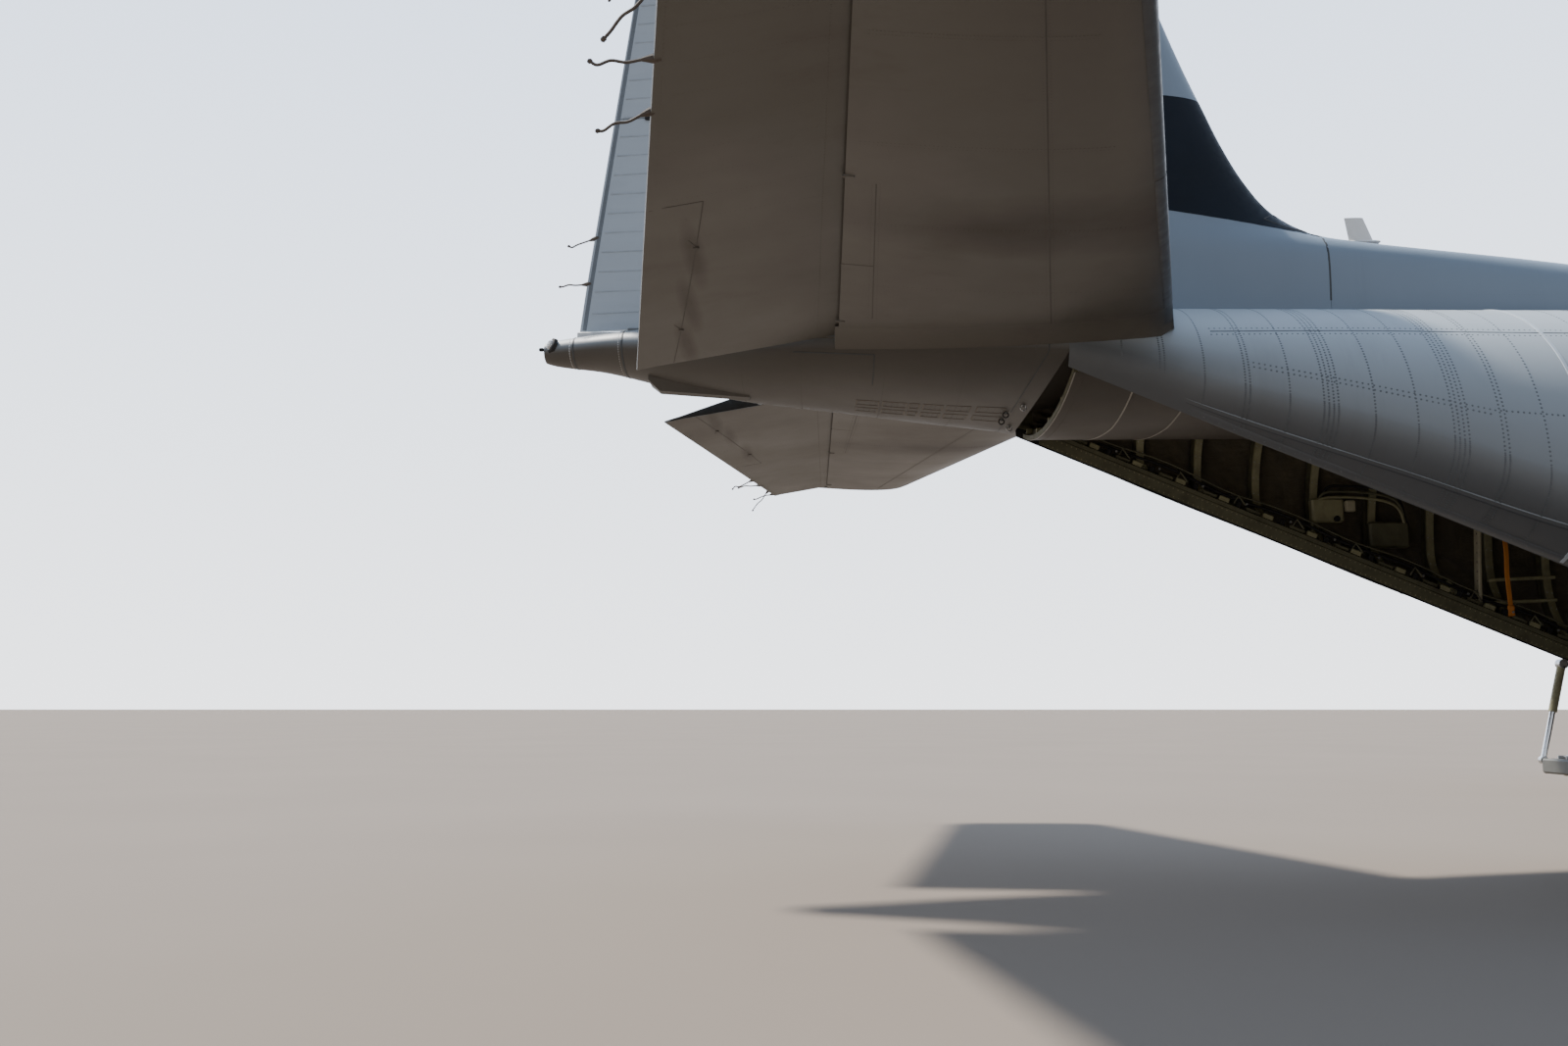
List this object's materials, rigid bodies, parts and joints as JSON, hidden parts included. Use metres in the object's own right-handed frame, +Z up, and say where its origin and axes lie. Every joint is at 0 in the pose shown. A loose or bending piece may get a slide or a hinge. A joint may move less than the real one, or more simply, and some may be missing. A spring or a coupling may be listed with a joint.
{
  "type": "four-engine military transport plane, half-scale model",
  "caption": "High-wing turboprop transport plane on its gear, with a rear cargo ramp, a raised upper cargo door and drooped elevators, at half of real size.",
  "frame": {"origin": "on the ground, under the middle of the plane's length and width", "axes": "+X to the nose, +Y to the port side, +Z up"},
  "size_m": [14.895, 20.205, 5.92],
  "materials": {
    "hull_paint": "matte",
    "wing_paint": "matte",
    "control_surface_paint": "matte",
    "nacelle_paint": "matte",
    "engine_metal": "matte",
    "radome_paint": "matte",
    "propeller_blade": "satin",
    "gear_steel": "satin",
    "tyre_rubber": "matte",
    "interior_paint": "matte",
    "flight_deck_paint": "matte",
    "cockpit_glass": "gloss",
    "panel_black": "matte",
    "seat_shell": "matte"
  },
  "bodies": {
    "airframe": {"nose_section": "hull_paint", "centre_fuselage": "hull_paint", "paratroop_door_left": "hull_paint", "paratroop_door_right": "hull_paint", "aft_fuselage": "hull_paint", "tail_section": "hull_paint", "sponson_left": "hull_paint", "sponson_right": "hull_paint", "dorsal_fin": "hull_paint", "fin": "hull_paint", "wing_centre": "wing_paint", "wing_left": "wing_paint", "wing_right": "wing_paint", "stabiliser": "wing_paint", "nacelle_inner_left": "nacelle_paint", "nacelle_inner_right": "nacelle_paint", "nacelle_outer_left": "nacelle_paint", "nacelle_outer_right": "nacelle_paint", "main_gear_left": "gear_steel", "main_gear_right": "gear_steel", "nose_gear_leg": "gear_steel", "engine_inner_left": "engine_metal", "engine_inner_right": "engine_metal", "engine_outer_left": "engine_metal", "engine_outer_right": "engine_metal", "cargo_floor": "interior_paint", "flight_deck": "flight_deck_paint", "radome": "radome_paint", "cockpit_glazing": "cockpit_glass", "instrument_panel": "panel_black", "pilot_seat_left": "seat_shell", "pilot_seat_right": "seat_shell"},
    "cargo_ramp": {"cargo_ramp": "interior_paint"},
    "cargo_door": {"cargo_door": "hull_paint"},
    "crew_door": {"crew_door": "hull_paint"},
    "rudder": {"rudder": "control_surface_paint"},
    "elevators": {"elevator_left": "control_surface_paint", "elevator_right": "control_surface_paint"},
    "flap_inner_left": {"flap_inner_left": "control_surface_paint"},
    "flap_inner_right": {"flap_inner_right": "control_surface_paint"},
    "flap_outer_left": {"flap_outer_left": "control_surface_paint"},
    "flap_outer_right": {"flap_outer_right": "control_surface_paint"},
    "aileron_left": {"aileron_left": "control_surface_paint"},
    "aileron_right": {"aileron_right": "control_surface_paint"},
    "propeller_inner_left": {"propeller_inner_left": "propeller_blade"},
    "propeller_inner_right": {"propeller_inner_right": "propeller_blade"},
    "propeller_outer_left": {"propeller_outer_left": "propeller_blade"},
    "propeller_outer_right": {"propeller_outer_right": "propeller_blade"},
    "main_wheel_front_left": {"main_wheel_front_left": "tyre_rubber"},
    "main_wheel_front_right": {"main_wheel_front_right": "tyre_rubber"},
    "main_wheel_rear_left": {"main_wheel_rear_left": "tyre_rubber"},
    "main_wheel_rear_right": {"main_wheel_rear_right": "tyre_rubber"},
    "nose_fork": {"nose_gear_fork": "gear_steel"},
    "nose_wheels": {"nose_wheel_left": "tyre_rubber", "nose_wheel_right": "tyre_rubber"}
  },
  "joints": [
    {"name": "propeller_inner_left_spin", "type": "hinge", "parent": "airframe", "child": "propeller_inner_left", "pos_m": [3.93, 2.4765, 1.92], "axis": [1, 0, 0], "continuous": true},
    {"name": "propeller_inner_right_spin", "type": "hinge", "parent": "airframe", "child": "propeller_inner_right", "pos_m": [3.93, -2.4765, 1.92], "axis": [1, 0, 0], "continuous": true},
    {"name": "propeller_outer_left_spin", "type": "hinge", "parent": "airframe", "child": "propeller_outer_left", "pos_m": [3.93, 5.08, 2.03367], "axis": [1, 0, 0], "continuous": true},
    {"name": "propeller_outer_right_spin", "type": "hinge", "parent": "airframe", "child": "propeller_outer_right", "pos_m": [3.93, -5.08, 2.03367], "axis": [1, 0, 0], "continuous": true},
    {"name": "crew_door_hinge", "type": "hinge", "parent": "airframe", "child": "crew_door", "pos_m": [5.6779, 0.77205, 0.5575], "axis": [-0.9565, 0.2918, 0], "range_deg": [0, 115]},
    {"name": "cargo_ramp_hinge", "type": "hinge", "parent": "airframe", "child": "cargo_ramp", "pos_m": [-0.81, 0, 0.459], "axis": [0, 1, 0], "range_deg": [-13, 21]},
    {"name": "cargo_door_hinge", "type": "hinge", "parent": "airframe", "child": "cargo_door", "pos_m": [-4.985, 0, 2.2], "axis": [0, 1, 0], "range_deg": [0, 23]},
    {"name": "rudder_hinge", "type": "hinge", "parent": "airframe", "child": "rudder", "pos_m": [-6.475, 0, 2.595], "axis": [0.033, 0, 0.9995], "range_deg": [-35, 35]},
    {"name": "elevator_hinge", "type": "hinge", "parent": "airframe", "child": "elevators", "pos_m": [-6.0375, 0, 2.465], "axis": [0, 1, 0], "range_deg": [0, 55]},
    {"name": "flap_inner_left_hinge", "type": "hinge", "parent": "airframe", "child": "flap_inner_left", "pos_m": [0.81507, 1.21, 2.17189], "axis": [0.0004, -0.9986, -0.0527], "range_deg": [0, 36]},
    {"name": "flap_inner_right_hinge", "type": "hinge", "parent": "airframe", "child": "flap_inner_right", "pos_m": [0.81507, -1.21, 2.17189], "axis": [-0.0004, -0.9986, 0.0527], "range_deg": [0, 36]},
    {"name": "flap_outer_left_hinge", "type": "hinge", "parent": "airframe", "child": "flap_outer_left", "pos_m": [0.81791, 2.84, 2.25809], "axis": [-0.0766, -0.9956, -0.0546], "range_deg": [0, 36]},
    {"name": "flap_outer_right_hinge", "type": "hinge", "parent": "airframe", "child": "flap_outer_right", "pos_m": [0.81791, -2.84, 2.25809], "axis": [0.0766, -0.9956, 0.0546], "range_deg": [0, 36]},
    {"name": "aileron_left_hinge", "type": "hinge", "parent": "airframe", "child": "aileron_left", "pos_m": [1.10546, 6.81, 2.47515], "axis": [0.0784, 0.9956, 0.0504], "range_deg": [-15, 25]},
    {"name": "aileron_right_hinge", "type": "hinge", "parent": "airframe", "child": "aileron_right", "pos_m": [1.10546, -6.81, 2.47515], "axis": [-0.0784, 0.9956, -0.0504], "range_deg": [-15, 25]},
    {"name": "main_wheel_front_left_spin", "type": "hinge", "parent": "airframe", "child": "main_wheel_front_left", "pos_m": [1.935, 1.0875, 0.355], "axis": [0, 1, 0], "continuous": true},
    {"name": "main_wheel_front_right_spin", "type": "hinge", "parent": "airframe", "child": "main_wheel_front_right", "pos_m": [1.935, -1.0875, 0.355], "axis": [0, 1, 0], "continuous": true},
    {"name": "main_wheel_rear_left_spin", "type": "hinge", "parent": "airframe", "child": "main_wheel_rear_left", "pos_m": [1.175, 1.0875, 0.355], "axis": [0, 1, 0], "continuous": true},
    {"name": "main_wheel_rear_right_spin", "type": "hinge", "parent": "airframe", "child": "main_wheel_rear_right", "pos_m": [1.175, -1.0875, 0.355], "axis": [0, 1, 0], "continuous": true},
    {"name": "nose_steering", "type": "hinge", "parent": "airframe", "child": "nose_fork", "pos_m": [6.45, 0, 0.45], "axis": [0, 0, 1], "range_deg": [-60, 60]},
    {"name": "nose_wheel_spin", "type": "hinge", "parent": "nose_fork", "child": "nose_wheels", "pos_m": [6.45, 0, 0.2475], "axis": [0, 1, 0], "continuous": true}
  ],
  "couplings": [
    {"joint": "flap_inner_right_hinge", "follows": "flap_inner_left_hinge", "ratio": 1},
    {"joint": "flap_outer_left_hinge", "follows": "flap_inner_left_hinge", "ratio": 1},
    {"joint": "flap_outer_right_hinge", "follows": "flap_inner_left_hinge", "ratio": 1}
  ]
}
